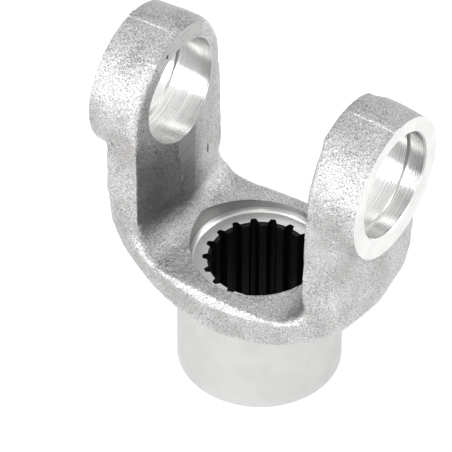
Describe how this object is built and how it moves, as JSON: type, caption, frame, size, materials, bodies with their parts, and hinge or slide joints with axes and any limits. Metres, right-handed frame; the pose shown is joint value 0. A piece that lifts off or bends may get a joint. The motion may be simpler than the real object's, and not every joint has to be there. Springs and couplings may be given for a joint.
{
  "type": "driveshaft yoke",
  "caption": "Forged steel fork with round bored ears for bearing caps, a curved base and an internally splined hub.",
  "frame": {"origin": "where the axis of the ear bores crosses the axis of the hub", "axes": "+X along the ear bores, +Z from the hub up between the ears, Y across the ears, the way the dies closed"},
  "size_m": [0.0884, 0.0528, 0.1109],
  "materials": {
    "forged_steel": "shot-blasted forging with machined bores, faces and hub"
  },
  "bodies": {
    "root": {"yoke": "forged_steel"}
  },
  "joints": []
}
